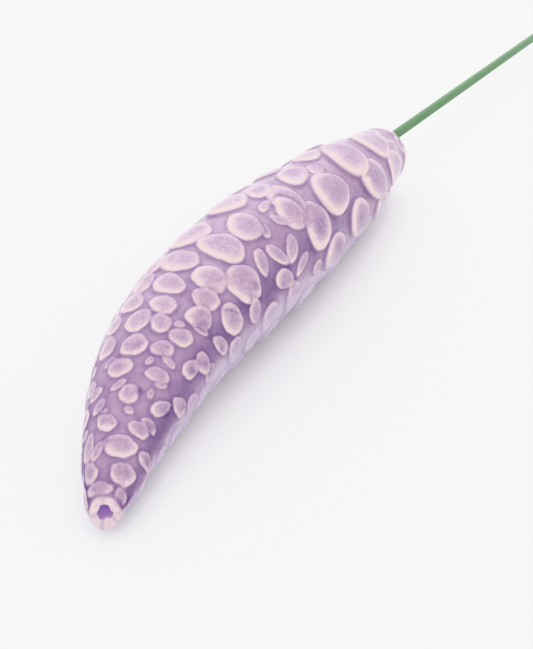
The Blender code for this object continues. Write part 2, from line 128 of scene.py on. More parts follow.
# Discs of the side that shows, as pressed on, from the tip to the base: how far along the spike (mm), bearing
# round it from straight up towards the inside of the bend (degrees), size across and along (mm), and turn
# (degrees).
SHOWN_DISCS = (
    (1.2, -22, 3.2, 1.7, -4), (1.0, 49, 1.8, 1.7, 20), (3.3, -44, 2.1, 2.8, 10), (3.1, 33, 3.1, 2.9, 22),
    (5.6, -26, 1.3, 3.0, -30), (6.3, 14, 4.1, 3.2, 20), (6.4, -46, 1.8, 4.0, -11), (6.4, 68, 3.1, 2.0, -5),
    (9.2, -16, 2.9, 2.2, -20), (9.2, 34, 2.8, 2.1, 0), (10.4, -25, 1.8, 0.9, 44), (10.4, 46, 2.6, 1.6, -17),
    (11.1, 12, 1.4, 1.0, -14), (11.5, -33, 1.4, 2.5, -44), (13.0, 6, 2.6, 2.5, 12), (13.2, 50, 1.8, 3.4, -40),
    (13.4, -43, 2.4, 1.5, 32), (14.0, -10, 2.4, 1.0, 35), (14.0, 31, 0.9, 1.4, 8), (14.7, -58, 2.8, 2.1, -13),
    (15.7, 38, 1.9, 0.9, 27), (15.7, 74, 3.5, 2.3, 17), (16.2, -14, 3.5, 2.6, 19), (16.6, 30, 3.4, 1.9, 19),
    (17.0, -28, 2.1, 1.3, 16), (17.8, 16, 0.9, 1.4, -28), (18.3, 90, 2.9, 3.1, 20), (18.9, 35, 2.2, 1.2, -13),
    (19.3, -6, 3.9, 3.0, 21), (19.5, -41, 3.6, 3.0, -41), (20.0, 23, 3.4, 2.2, 24), (20.4, 59, 2.4, 3.2, -15),
    (22.9, -13, 3.5, 3.8, -20), (22.9, 34, 3.5, 2.7, 37), (22.9, 68, 3.6, 2.6, 6), (23.1, -46, 4.2, 2.8, -38),
    (23.3, 10, 3.0, 2.9, -15), (23.6, 83, 2.3, 2.9, 8), (24.4, 26, 1.7, 1.0, 30), (25.9, 46, 2.7, 1.1, 23),
    (26.1, -32, 4.4, 3.3, -29), (26.1, 3, 3.8, 3.1, -9), (27.2, 38, 3.4, 4.4, -31), (27.6, 72, 4.0, 2.2, 31),
    (29.7, -4, 4.7, 3.9, -11), (29.9, -34, 4.8, 3.6, -43), (30.3, 33, 4.1, 3.6, 43), (31.8, 63, 5.0, 4.3, 35),
    (33.5, 24, 4.6, 5.2, -34), (33.9, -39, 3.6, 5.2, 42), (34.3, -12, 6.0, 4.9, -10), (36.9, 74, 3.4, 2.9, -36),
    (37.3, 48, 6.3, 5.8, 38), (39.6, 12, 6.8, 5.7, 12), (40.5, -26, 6.2, 7.0, 17), (42.4, 45, 4.4, 2.3, -25),
    (44.9, 71, 3.1, 4.4, -22), (45.5, 12, 6.0, 5.5, -31), (45.8, 50, 4.9, 2.2, 25), (47.2, 29, 1.5, 2.6, 35),
    (49.1, 55, 2.5, 4.9, 38), (50.0, 72, 1.7, 5.0, 27), (50.2, -24, 6.5, 8.0, 25), (50.8, 28, 2.9, 1.4, 17),
    (51.7, 10, 1.6, 3.4, 15), (54.0, 30, 6.3, 5.3, -36), (54.2, 88, 2.5, 2.9, -7), (55.5, -9, 4.1, 5.4, 30),
    (56.1, 17, 7.4, 6.0, -34), (57.4, 54, 6.2, 8.7, 41), (57.6, 2, 1.4, 2.6, 17), (60.6, 90, 6.2, 8.0, 0),
    (63.9, -1, 5.2, 7.6, 20), (66.1, 39, 7.2, 10.4, 12), (68.8, 8, 2.8, 3.8, 17), (71.1, 84, 6.8, 8.8, -13),
    (73.8, -20, 4.6, 8.0, 20), (77.9, 17, 8.6, 9.8, 32), (80.2, 59, 7.2, 10.4, -20), (82.0, 100, 5.6, 8.4, -15),
    (89.6, 18, 7.6, 8.8, 0), (91.6, 74, 6.2, 8.2, 0), (94.0, 44, 3.6, 5.0, 0), (94.5, -14, 5.0, 5.4, 0),
)
SHOWN_TO = 92.0
SHOWN_FROM_TIP = -55.0
SHOWN_FROM_MIDDLE = -30.0
SHOWN_MIDDLE = 45.0 * MM

# Finger marks and torn edges that show on the discs: place, size and turn as above, and the coats of glaze
# that lie in them, less than none where the clay comes through.
PRESSES = (
    (0.5, 50, 1.4, 1.0, 31, 0.6), (5.6, 3, 1.2, 1.8, 37, -0.3), (6.4, 70, 1.3, 1.3, -4, 0.5),
    (7.9, 23, 1.4, 0.6, -4, -0.35), (8.8, -14, 1.6, 1.1, -17, -0.5), (9.8, 50, 1.4, 0.5, -39, 0.7),
    (10.7, 54, 1.0, 0.8, 9, 0.4), (13.4, 62, 0.9, 1.5, -31, 0.8), (13.8, 18, 1.4, 1.2, 21, 0.9),
    (16.6, 80, 2.0, 1.0, 20, 0.5), (19.1, 26, 2.7, 0.4, 27, 0.8), (19.3, -2, 1.1, 2.8, -41, 0.35),
    (20.4, 62, 0.9, 1.6, -43, 0.7), (23.1, 70, 0.6, 1.2, -41, 0.6), (25.9, 44, 2.4, 0.5, 22, 0.9),
    (26.9, 43, 2.1, 1.1, 39, 0.35), (27.2, 74, 1.6, 1.1, 21, 0.5), (32.2, 56, 0.5, 3.5, -43, 0.7),
    (32.4, 50, 1.0, 2.6, -40, -0.25), (33.7, 34, 1.1, 1.4, 10, -0.35), (36.9, 61, 1.6, 0.7, -13, 0.7),
    (38.8, 56, 1.7, 1.3, 27, 0.8), (44.1, 76, 2.1, 1.3, 42, 0.6), (54.6, 58, 1.5, 1.9, -35, -0.3),
    (55.1, 43, 3.6, 1.0, -42, 0.5), (57.6, 56, 3.2, 5.0, 30, 0.35), (61.0, 82, 2.5, 4.2, -45, 0.4),
    (70.7, 80, 3.4, 5.2, 44, 0.5), (76.8, 51, 2.7, 2.4, 38, -0.35), (80.6, 60, 4.2, 6.4, -24, 0.4),
)
PRESS_DEPTH = 0.15 * MM
PRESS_REACH = 1.4

# Stem, as in the solids.
STEM_LENGTH = 205.0 * MM
STEM_OFFSET = 1.4 * MM
STEM_RAISE = 0.75 * MM
STEM_CLEAR = 0.05 * MM
COATING_RADIUS = 1.0 * MM
COATING_BORE = 0.65 * MM
CORE_RADIUS = 0.55 * MM
CORE_PROUD = 0.15 * MM
CORE_BURR = 0.1 * MM
SOCKET_RADIUS = 1.6 * MM
SOCKET_DEPTH = 22.0 * MM
SOCKET_LIP = 0.25 * MM
SOCKET_LIP_STEP = 0.3 * SOCKET_LIP
SOCKET_SPARE = 2.0 * MM
BOSS_RADIUS = 2.4 * MM
BOSS_BLEND = 4.5 * MM
GLUE_GAP = 0.12 * MM
GLUE_LENGTH = 16.0 * MM
BEAD_RADIUS = 2.1 * MM
BEAD_HEIGHT = 0.7 * MM

# Glaze, in coats: thin on the rim of a disc, thicker in its dish by place along the spike (mm), which lies
# off its middle towards the base, and thickest in the groove round its foot.
GLAZE_ON_GROUND = 1.06
GLAZE_ON_RIM = 0.02
GLAZE_IN_DISH = ((0.0, 0.9), (26.0, 0.8), (60.0, 0.86), (105.0, 0.88))
DISH_SHIFT = 0.2
DISH_POWER = 3.4
DISH_SHARE = 0.94
GLAZE_EDGE = ((0.0, 0.5), (40.0, 0.65), (70.0, 1.0), (105.0, 1.3))
GLAZE_EDGE_SHARE = 0.8
GLAZE_IN_GROOVE = 0.5
GROOVE_LOST_UNDER = 0.3
GROOVE_LOST_AT_END = 0.7
GROOVE_ON_DISC = 1.6
SETTLE_REACH = 0.2 * MM
TONE_REACH = 0.1 * MM

# Glaze ran down the flanks and gathered in a line along them, a darker line that is also painted shade near the
# surface. The belly's thinner glaze and its pale sheen are a painted reflection of the white surface. Coats and
# the bearing where the belly starts (degrees) are given by place along the spike (mm).
RUN_AND_SHADE_COATS = ((0.0, 0.75), (45.0, 0.75), (70.0, 0.45), (105.0, 0.1))
RUN_AND_SHADE_BEARING = math.radians(67.0)
RUN_AND_SHADE_WIDTH = math.radians(15.0)
BELLY_FROM = ((0.0, 76.0), (45.0, 76.0), (60.0, 84.0), (105.0, 92.0))
BELLY_OVER = math.radians(26.0)
BELLY_REFLECTION_COATS = 0.72
BELLY_PAINTED_REFLECTION = 0.42
REFLECTION_OVER_DISCS = 0.8

# At the tip it pooled in the hollow and drew into streaks across the lip, which fade out along the skin.
GLAZE_IN_HOLLOW = 0.9
HOLLOW_TINT = 1.15
HOLLOW_TINT_LOST = 0.5
HOLLOW_BLUR = 0.16 * MM
GLAZE_ON_LIP = 0.02
LIP_COATS = 0.12
LIP_STREAKS = ((7.0, -1.0), (2.0, 0.5))
# Painted highlight: a pale bluish wash over the tip's lip and hollow.
LIP_PAINTED_HIGHLIGHT = 0.12
LIP_FADE = 0.7 * MM
RELIEF_FROM = 0.3 * MM
RELIEF_OVER = 0.9 * MM
BOSS_FADE = 1.0 * MM

# Noise in the glaze, as grains per metre, detail and roughness, and what it does to the glaze's depth.
GRAIN = (1500.0, 5.0, 0.68)
GRAIN_SHARE = 0.4
EDGE_GRAIN = 0.75
EDGE_STEP = (0.12, 0.84)
CLOUD = (260.0, 3.0, 0.6)
CLOUD_SHARE = 0.8
CRACKLE = (2100.0, 4.0, 0.8)
CRACKLE_STEP = (0.46, 0.7)
CRACKLE_COATS = 0.32
RIPPLE = (420.0, 2.0, 0.5)

# Grid of the spike's skin, the kinds of its rows, and the steps and sharp edges of the stem's pieces.
AROUND = 236
TIP_ROWS = 34
BODY_ROWS = 336
CAP_ROWS = 22
PROFILE_STEPS = 400
HOLLOW, LIP, SKIN, SOCKET = range(4)
CORNER_STEPS = 6
BEAD_STEPS = 12
SHARP_FROM = math.radians(50.0)

# Soft light: the place it looks at, and its own place from there, in metres.
LIGHT_TARGET = (-0.1, 0.0, 0.0)
LIGHT_OFFSET = (0.45, 0.42, 0.8)

# Camera, found from the photo: distances are from the base end of the spike.
LENS = 47.98
SENSOR_WIDTH = 36.0
CAMERA_HEIGHT = 88.2 * MM
CAMERA_PITCH = math.radians(38.0)
HEAD_YAW = math.radians(58.5)
CAMERA_SIDEWAYS = 22.0 * MM
CAMERA_AHEAD = 156.5 * MM


def ease(x):
    """Smooth step: 3x^2 - 2x^3, 0 below 0 and 1 above 1."""
    x = np.clip(x, 0.0, 1.0)
    return x * x * (3.0 - 2.0 * x)


def girth(s):
    """Radius over the discs at the axial places s: a cubic through GIRTH with the slopes of its chords."""
    place, size = (MM * np.array(column) for column in zip(*GIRTH))
    slope = np.gradient(size, place)
    s = np.clip(s, place[0], place[-1])
    i = np.clip(np.searchsorted(place, s) - 1, 0, len(place) - 2)
    step = place[i + 1] - place[i]
    u = (s - place[i]) / step
    start = (1.0 + 2.0 * u) * (1.0 - u) ** 2 * size[i] + u * (1.0 - u) ** 2 * step * slope[i]
    end = u * u * (3.0 - 2.0 * u) * size[i + 1] - u * u * (1.0 - u) * step * slope[i + 1]
    return start + end


def disc_size(s):
    """Usual disc size at the axial places s: it grows in a straight line from tip to base."""
    return DISC_AT_TIP + (DISC_AT_BASE - DISC_AT_TIP) * np.clip(s / HEAD_LENGTH, 0.0, 1.0)


def disc_height(size):
    """How far a disc of a size stands over the skin: a fixed rise and a share of its size."""
    return DISC_RISE + DISC_RELIEF * size


def skin_radius(s):
    """Radius of the bare body between the discs: the girth less a usual disc's height."""
    return girth(s) - disc_height(disc_size(s))


def skin_profile(t):
    """Axial place and radius after a way t along the skin: the body, then a quarter ellipse round the end."""
    base_radius = skin_radius(np.array(HEAD_LENGTH))
    turn = np.clip((t - HEAD_LENGTH) / CAP_LENGTH, 0.0, math.pi / 2.0)
    on_body = t <= HEAD_LENGTH
    s = np.where(on_body, t, HEAD_LENGTH + CAP_LENGTH * np.sin(turn))
    r = np.where(on_body, skin_radius(t), base_radius * np.cos(turn))
    return s, r


def axis_height(s):
    """Height of the spike's axis: the belly lies on the surface, the tip is lifted and the base half falls."""
    middle = 0.5 * HEAD_LENGTH
    before = np.minimum(girth(np.minimum(s, middle)), girth(np.array(middle)))
    lift = TIP_LIFT * np.clip(1.0 - s / TIP_LIFT_LENGTH, 0.0, None) ** 2
    return before - SETTLE + lift - HEAD_FALL * np.clip(s - middle, 0.0, None)


def stem_axis():
    """Start at the base end's station and direction of the stem, whose cut end comes down to the surface."""
    height = float(axis_height(np.array(HEAD_LENGTH))) + STEM_RAISE
    run = CAP_LENGTH + STEM_LENGTH
    fall = math.atan2(height - COATING_RADIUS - STEM_CLEAR, run)
    return np.array([0.0, 0.0, height]), np.array([math.cos(fall), 0.0, -math.sin(fall)])


def to_frame():
    """Shift from the stem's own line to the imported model, read from the coating's box."""
    low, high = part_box("stem_coating")
    start, direction = stem_axis()
    end = start[0] + direction[0] * (CAP_LENGTH + STEM_LENGTH) - direction[2] * COATING_RADIUS
    return np.array([high[0] - end, 0.5 * (low[1] + high[1]), 0.0])


SHIFT = to_frame()


def axis_frame(s):
    """Centre, sideways and upward directions of the section at s: straight base half, then one plan arc."""
    curl = BEND / BEND_LENGTH
    into = np.clip(BEND_LENGTH - s, 0.0, None)
    heading = HEAD_TURN + curl * into
    straight = np.maximum(s, BEND_LENGTH) - HEAD_LENGTH
    x = straight * math.cos(HEAD_TURN) - (np.sin(heading) - math.sin(HEAD_TURN)) / curl
    y = straight * math.sin(HEAD_TURN) + (np.cos(heading) - math.cos(HEAD_TURN)) / curl
    x = x + STEM_OFFSET * math.sin(HEAD_TURN)
    y = y - STEM_OFFSET * math.cos(HEAD_TURN)
    tilt = TIP_TILT * np.clip(1.0 - s / TIP_TILT_LENGTH, 0.0, 1.0) ** 2
    level = np.zeros_like(s)
    centre = np.stack([x, y, axis_height(s)], axis=-1) + SHIFT
    side = np.stack([np.sin(heading), -np.cos(heading), level], axis=-1)
    up = np.stack([np.cos(heading) * np.sin(tilt), np.sin(heading) * np.sin(tilt), np.cos(tilt)], axis=-1)
    return centre, side, up


def stem_place(along, sideways, upward):
    """Points given along the stem's axis, sideways towards -Y and upward across it."""
    start, direction = stem_axis()
    side = np.array([0.0, -1.0, 0.0])
    up = np.cross(side, direction)
    return start + SHIFT + np.multiply.outer(along, direction) + np.multiply.outer(sideways, side) \
        + np.multiply.outer(upward, up)


def is_shown(s, bearing):
    """True on the side whose discs are placed one by one."""
    start = SHOWN_FROM_MIDDLE + (SHOWN_FROM_TIP - SHOWN_FROM_MIDDLE) * max(0.0, 1.0 - s / SHOWN_MIDDLE)
    return start < bearing < SHOWN_TO


def make_discs():
    """All discs as (way along the skin, bearing, across, along, turn) in metres and radians, base end first.

    The hidden side is strewn by a seeded draw: full discs that keep their distance, then crumbs between them.
    """
    draw = random.Random(SEED)
    discs = [(t * MM, math.radians(b), w * MM, h * MM, math.radians(a)) for t, b, w, h, a in SHOWN_DISCS]
    end = HEAD_LENGTH + STREWN_ON_END * CAP_LENGTH * math.pi / 2.0
    ways = np.linspace(0.0, end, PROFILE_STEPS)
    radii = skin_profile(ways)[1]
    for tries, share in ((DISC_TRIES, 1.0), (CRUMB_TRIES, CRUMB_SHARE)):
        for _ in range(tries):
            t = draw.uniform(STREWN_FROM, end)
            bearing = draw.uniform(-180.0, 180.0)
            mean = share * float(disc_size(t)) * draw.uniform(*STREWN_SIZE)
            stretch = math.sqrt(draw.uniform(1.0, STREWN_STRETCH))
            turn = draw.uniform(-STREWN_TURN, STREWN_TURN)
            new = (t, math.radians(bearing), mean * stretch, mean / stretch, turn)
            hidden = t > HEAD_LENGTH or not is_shown(t, bearing)
            if hidden and is_clear(new, np.array(discs), float(np.interp(t, ways, radii))):
                discs.append(new)
    return sorted(discs, key=lambda disc: -disc[0])


def is_clear(new, discs, radius):
    """True if a disc keeps its distance, on the unrolled skin, from those already placed."""
    turn = (discs[:, 1] - new[1] + math.pi) % (2.0 * math.pi) - math.pi
    reach = 0.25 * (new[2] + new[3] + discs[:, 2] + discs[:, 3])
    return bool(np.all(np.hypot(turn * radius, discs[:, 0] - new[0]) > DISC_SPACING * reach))


def skin_patch(t, bearing):
    """Point and outward, across and along directions of the straight body's skin."""
    s, r = skin_profile(np.array([t, t + 0.1 * MM]))
    slant = math.atan2(r[1] - r[0], s[1] - s[0])
    out = np.array([0.0, math.sin(bearing), math.cos(bearing)])
    across = np.array([0.0, math.cos(bearing), -math.sin(bearing)])
    axial = np.array([1.0, 0.0, 0.0])
    point = s[0] * axial + r[0] * out
    along = math.cos(slant) * axial + math.sin(slant) * out
    return point, math.cos(slant) * out - math.sin(slant) * axial, across, along


def along_spike(steps, ways):
    """Value at the ways along the skin, in a straight line between steps of (place in mm, value)."""
    return np.interp(ways / MM, *zip(*steps))


def on_patch(points, t, bearing, across_size, along_size, turn):
    """Points seen from a disc: its outward direction, their way to the base end, and places in half sizes."""
    centre, outward, across, along = skin_patch(t, bearing)
    offset = points - centre
    u, v = offset @ across, offset @ along
    x = (u * math.cos(turn) + v * math.sin(turn)) / (0.5 * across_size)
    y = (v * math.cos(turn) - u * math.sin(turn)) / (0.5 * along_size)
    return outward, v, x, y


def disc_outline(draw, t, turn):
    """Waves of a disc's outline as (count, start, share): two drawn ones, and those of its torn edge."""
    waves = [(2.0, draw.uniform(0.0, 6.28), 1.0), (3.0, draw.uniform(0.0, 6.28), 1.0)]
    torn = float(along_spike(TORN, t))
    return waves + [
        (count, by_turn * turn + by_place * t, share * torn) for count, by_turn, by_place, share in TORN_WAVES
    ]


class Skin:
    """What lies on the straight body at a grid of points: the clay's height over it, and the glaze in coats.

    The glaze has two fields, on the ground and on the discs, and the cover says how far a point is on a disc.
    """

    def __init__(self, points, normals, ways):
        self.points, self.normals, self.ways = points, normals, ways
        around = np.abs(np.arctan2(points[..., 1], points[..., 2]))
        # The belly is the lower flank: its thinner glaze and pale sheen are a painted reflection of the white
        # surface.
        self.belly = ease((around - np.radians(along_spike(BELLY_FROM, ways))) / BELLY_OVER)
        # A darker line along the flanks: glaze that gathered there, and painted shade near the surface.
        run = along_spike(RUN_AND_SHADE_COATS, ways) * np.exp(-((around - RUN_AND_SHADE_BEARING) / RUN_AND_SHADE_WIDTH) ** 2)
        self.ground_glaze = GLAZE_ON_GROUND + run - BELLY_REFLECTION_COATS * self.belly
        self.disc_glaze = np.full(ways.shape, GLAZE_ON_RIM)
        self.clay = np.zeros(ways.shape)
        self.cover = np.zeros(ways.shape)

    def press_disc(self, t, bearing, across_size, along_size, turn, waves):
        """Press one disc on.

        With q the distance from its centre in half sizes, on an outline with small waves, and d = (q - 1)
        half the way out from its foot, it covers c(d), a smooth step down over its edge. The clay on it is c
        h (1 - dish (1 - q^2)) (1 - tilt v), with v the way towards the base end, on a share of what lies
        below, and beside its foot what lies below is grooved by e^(-(d/width)^2). Its glaze goes from thin on
        the rim to thick in the dish, and the glaze below it gains a pool in the groove.
        """
        rows = np.flatnonzero(np.abs(self.ways[:, 0] - t) < DISC_REACH * max(across_size, along_size) + MM)
        if len(rows) == 0:
            return
        near = slice(rows[0], rows[-1] + 1)
        outward, v, x, y = on_patch(self.points[near], t, bearing, across_size, along_size, turn)
        angle = np.arctan2(y, x)
        wave = sum(share * np.cos(count * (angle - start)) for count, start, share in waves)
        wobble = 1.0 + DISC_WOBBLE * wave
        q = np.hypot(x, y) * wobble
        half = 0.5 * math.sqrt(across_size * along_size)
        way_out = (q - 1.0) * half
        faces = self.normals[near] @ outward > DISC_FACING
        covers = np.where(faces, ease(0.5 - way_out / min(DISC_EDGE, DISC_EDGE_SHARE * half)), 0.0)
        top = disc_height(2.0 * half) * (1.0 - DISC_DISH * np.clip(1.0 - q * q, 0.0, 1.0))
        top = top * (1.0 - DISC_TILT * np.clip(v / half, -1.0, 1.0))
        groove = np.where(faces, np.exp(-(np.clip(way_out, 0.0, None) / GROOVE_WIDTH) ** 2), 0.0)
        clay, ground, belly = self.clay[near], self.ground_glaze[near], self.belly[near]
        self.clay[near] = np.maximum(clay * (1.0 - GROOVE_SHARE * groove), covers * (top + DISC_STEP * clay))
        dished = 1.0 - np.clip(np.hypot(x, y - DISH_SHIFT) * wobble / DISH_SHARE, 0.0, 1.0) ** DISH_POWER
        on_disc = GLAZE_ON_RIM + (along_spike(GLAZE_IN_DISH, t) - GLAZE_ON_RIM) * dished
        # On the belly the discs take the ground's glaze too, so the painted reflection covers them.
        on_disc = on_disc + REFLECTION_OVER_DISCS * belly * (ground - on_disc)
        edge = min(float(along_spike(GLAZE_EDGE, t)) * MM, GLAZE_EDGE_SHARE * half)
        covers = np.where(faces, ease(0.5 - way_out / edge), 0.0)
        lost = GROOVE_LOST_AT_END * float(ease(np.array((t - END_SOFT_FROM) / END_SOFT_OVER)))
        pool = GLAZE_IN_GROOVE * groove * (1.0 - lost)
        self.ground_glaze[near] = ground + pool * (1.0 - GROOVE_LOST_UNDER * self.cover[near])
        below = self.disc_glaze[near] + GROOVE_ON_DISC * pool
        self.disc_glaze[near] = covers * on_disc + (1.0 - covers) * below
        self.cover[near] = np.maximum(self.cover[near], covers)

    def mark(self, t, bearing, across_size, along_size, turn, coats):
        """Press a finger mark into the clay, which holds more glaze or lays the clay bare."""
        outward, _, x, y = on_patch(
            self.points, t * MM, math.radians(bearing), across_size * MM, along_size * MM, math.radians(turn),
        )
        mark = (1.0 - ease(np.hypot(x, y) / PRESS_REACH)) * (self.normals @ outward > DISC_FACING)
        self.clay = np.maximum(self.clay - PRESS_DEPTH * max(coats, 0.0) * mark, 0.0)
        self.ground_glaze = np.maximum(self.ground_glaze + max(coats, 0.0) * mark, GLAZE_ON_RIM)
        self.disc_glaze = np.maximum(self.disc_glaze + coats * mark, GLAZE_ON_RIM)


def dressed_skin(points, normals, ways):
    """The skin with all its discs and finger marks, its clay filled out on the rounded end."""
    draw = random.Random(SEED + 1)
    skin = Skin(points, normals, ways)
    for t, bearing, across_size, along_size, turn in make_discs():
        skin.press_disc(t, bearing, across_size, along_size, turn, disc_outline(draw, t, turn))
    for press in PRESSES:
        skin.mark(*press)
    soft = END_SOFT * ease((ways - END_SOFT_FROM) / END_SOFT_OVER)
    skin.clay = skin.clay + soft * (END_FILL - skin.clay)
    return skin


def blurred(values, ways, radii, reach):
    """Gaussian blur on the skin by a distance: round each row by its waves, then along the rows by a matrix."""
    wave = np.arange(values.shape[1] // 2 + 1)
    round_rows = np.exp(-0.5 * (wave[None, :] * reach / np.maximum(radii[:, None], reach)) ** 2)
    rounded = np.fft.irfft(np.fft.rfft(values, axis=1) * round_rows, n=values.shape[1], axis=1)
    weight = np.exp(-0.5 * ((ways[:, None] - ways[None, :]) / reach) ** 2) * np.gradient(ways)[None, :]
    return (weight / weight.sum(axis=1, keepdims=True)) @ rounded


def mesh_piece(name, points, quads, node, fields):
    """Object of a quad mesh whose faces are turned outwards, riding on the root in place of a CAD node."""
    a, b, c, d = (points[quads[:, i]] for i in range(4))
    volume = np.einsum("ij,ij->", a, np.cross(b, c)) + np.einsum("ij,ij->", a, np.cross(c, d))
    if volume < 0.0:
        quads = quads[:, ::-1]
    mesh = bpy.data.meshes.new(name)
    mesh.from_pydata(points.tolist(), [], [list(dict.fromkeys(quad)) for quad in quads.tolist()])
    for label, values in fields.items():
        field = mesh.attributes.new(label, "FLOAT", "POINT")
        field.data.foreach_set("value", np.ascontiguousarray(values, dtype=np.float32).ravel())
    mesh.shade_smooth()
    mesh.update()
    piece = bpy.data.objects.new(name, mesh)
    bpy.context.scene.collection.objects.link(piece)
    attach(piece, "root")
    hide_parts(node)
    return piece


def grid_quads(rows, around):
    """Quads of a grid closed round itself, whose first and last rows are each a single point."""
    body = 1 + np.arange((rows - 2) * around).reshape(rows - 2, around)
    turned = np.roll(body, -1, axis=1)
    between = np.stack([body[:-1], turned[:-1], turned[1:], body[1:]], axis=-1).reshape(-1, 4)
    last = 1 + (rows - 2) * around
    first_fan = np.stack([np.zeros(around, int), np.zeros(around, int), turned[0], body[0]], axis=-1)
    last_fan = np.stack([body[-1], turned[-1], np.full(around, last), np.full(around, last)], axis=-1)
    return np.concatenate([first_fan, between, last_fan])


def spike_rows():
    """Rows of the spike from the tip's hollow to the socket's bottom: place, radius, way, kind, and the mouth.

    The hollow is a quarter ellipse, the lip half an ellipse over its edge, the body and the end follow the
    skin profile up to the boss, and the socket goes straight in from its mouth, where the skin ends. The way
    is the path along the rows, 0 where the skin starts.
    """
    outer = float(skin_radius(np.array(0.0)))
    half = 0.5 * (outer - HOLLOW_RADIUS)
    turn = np.linspace(0.0, math.pi / 2.0, TIP_ROWS // 2)
    hollow = [HOLLOW_DEPTH * np.cos(turn), HOLLOW_RADIUS * np.sin(turn)]
    turn = np.linspace(0.0, math.pi, TIP_ROWS - TIP_ROWS // 2 + 2)[1:-1]
    lip = [-LIP_PROUD * np.sin(turn), HOLLOW_RADIUS + half - half * np.cos(turn)]
    boss = CAP_LENGTH * math.acos(BOSS_RADIUS / float(skin_radius(np.array(HEAD_LENGTH))))
    ways = np.concatenate([
        np.linspace(0.0, HEAD_LENGTH, BODY_ROWS), HEAD_LENGTH + np.linspace(0.0, boss, CAP_ROWS + 1)[1:],
    ])
    skin = skin_profile(ways)
    end = float(skin[0][-1])
    socket = [
        end - np.array([0.0, SOCKET_LIP_STEP, SOCKET_LIP, SOCKET_DEPTH, SOCKET_DEPTH]),
        np.array([
            SOCKET_RADIUS + SOCKET_LIP, SOCKET_RADIUS + SOCKET_LIP_STEP, SOCKET_RADIUS, SOCKET_RADIUS, 0.0,
        ]),
    ]
    parts = [hollow, lip, skin, socket]
    place = np.concatenate([part[0] for part in parts])
    radius = np.concatenate([part[1] for part in parts])
    kind = np.concatenate([np.full(len(part[0]), i) for i, part in enumerate(parts)])
    path = np.concatenate([[0.0], np.cumsum(np.hypot(np.diff(place), np.diff(radius)))])
    start = path[np.flatnonzero(kind == SKIN)[0]]
    return place, radius, path - start, kind, end


def turned_grid(place, radius, bearing):
    """Points of a turned outline and their outward normals, as row by bearing arrays."""
    ring_sin, ring_cos = np.sin(bearing), np.cos(bearing)
    slope_s, slope_r = np.gradient(place), np.gradient(radius)
    size = np.hypot(slope_s, slope_r) + 1e-12
    out_s, out_r = (-slope_r / size)[:, None], (slope_s / size)[:, None]
    full = np.ones_like(bearing)
    points = np.stack([place[:, None] * full, radius[:, None] * ring_sin, radius[:, None] * ring_cos], axis=-1)
    normals = np.stack([out_s * full, out_r * ring_sin, out_r * ring_cos], axis=-1)
    return points, normals


def spike_surface(coat):
    """The straight glazed spike: its points as a row by bearing grid, the rows' kinds, the fields of its look.

    A point is (s, r sin b, r cos b), pushed out along its normal by the clay's relief and the glaze on it.
    Both fade out at the lip of the tip and at the boss round the stem.
    """
    place, radius, way, kind = spike_rows()[:4]
    bearing = np.linspace(0.0, 2.0 * math.pi, AROUND, endpoint=False)[None, :]
    points, normals = turned_grid(place, radius, bearing)
    ways = np.where(kind == SKIN, skin_ways(place, radius), -1.0)[:, None] * np.ones_like(bearing)
    skin = dressed_skin(points, normals, ways)
    on_skin = (kind == SKIN)[:, None]
    on_end = points[..., 0] > HEAD_LENGTH
    reach = np.hypot(points[..., 1], points[..., 2])
    relief = np.where(on_skin, ease((points[..., 0] - RELIEF_FROM) / RELIEF_OVER), 0.0)
    relief = relief * np.where(on_end, ease((reach - BOSS_RADIUS) / BOSS_FADE), 1.0)
    past_lip = ease(points[..., 0] / LIP_FADE) * np.where(on_end, relief, 1.0)
    fields = glaze_fields(skin, relief, past_lip, (radius, way, kind), bearing)
    coats = skin.ground_glaze + skin.cover * (skin.disc_glaze - skin.ground_glaze)
    height = blurred((skin.clay + coat * (coats - 1.0)) * relief, way, radius, SETTLE_REACH)
    points = points + np.where(on_skin, height, 0.0)[..., None] * normals
    return points + tip_lumps(points, kind, bearing), kind, fields


def glaze_fields(skin, relief, past_lip, rows, bearing):
    """Fields of the look: glaze on the ground and on the discs, the discs' faces, the painted sheen, the
    hollow's tint.

    Past the lip they go over from the lip's streaks to the skin's own, and the socket is bare. The painted sheen
    is a painted reflection of the surface on the belly and a painted highlight over the tip.
    """
    radius, way, kind = rows
    on_skin, in_hollow, in_socket = ((kind == part)[:, None] for part in (SKIN, HOLLOW, SOCKET))
    streaks = [np.cos(count * bearing - start) for count, start in LIP_STREAKS]
    lip = GLAZE_ON_LIP + LIP_COATS * (1.0 + streaks[0] * streaks[1]) ** 2
    coats = []
    for glaze in (skin.ground_glaze, skin.disc_glaze):
        tone = np.where(on_skin, past_lip * glaze + (1.0 - past_lip) * lip, lip)
        tone = np.where(in_hollow, GLAZE_IN_HOLLOW, tone)
        coats.append(np.where(in_socket, 0.0, blurred(tone, way, radius, TONE_REACH)))
    depth = HOLLOW_TINT - HOLLOW_TINT_LOST * (radius / HOLLOW_RADIUS)[:, None] ** 2
    hollow = blurred(np.where(in_hollow, depth, 0.0 * bearing), way, radius, HOLLOW_BLUR)
    return {
        "ground_glaze": coats[0],
        "disc_glaze": coats[1],
        "disc_face": np.where(
            on_skin, skin.cover * relief + (1.0 - past_lip), 1.0 - np.clip(hollow, 0.0, 1.0),
        ),
        # Painted sheen: a painted reflection of the white surface on the belly, and a painted highlight over the
        # tip.
        "painted_sheen": np.where(on_skin, skin.belly * BELLY_PAINTED_REFLECTION * past_lip, LIP_PAINTED_HIGHLIGHT),
        "hollow": hollow,
    }


def skin_ways(place, radius):
    """Way along the skin of rows on the body, where it is their place, and on the rounded end."""
    base_radius = float(skin_radius(np.array(HEAD_LENGTH)))
    turn = np.arctan2((place - HEAD_LENGTH) / CAP_LENGTH, radius / base_radius)
    return np.where(place > HEAD_LENGTH, HEAD_LENGTH + CAP_LENGTH * turn, place)


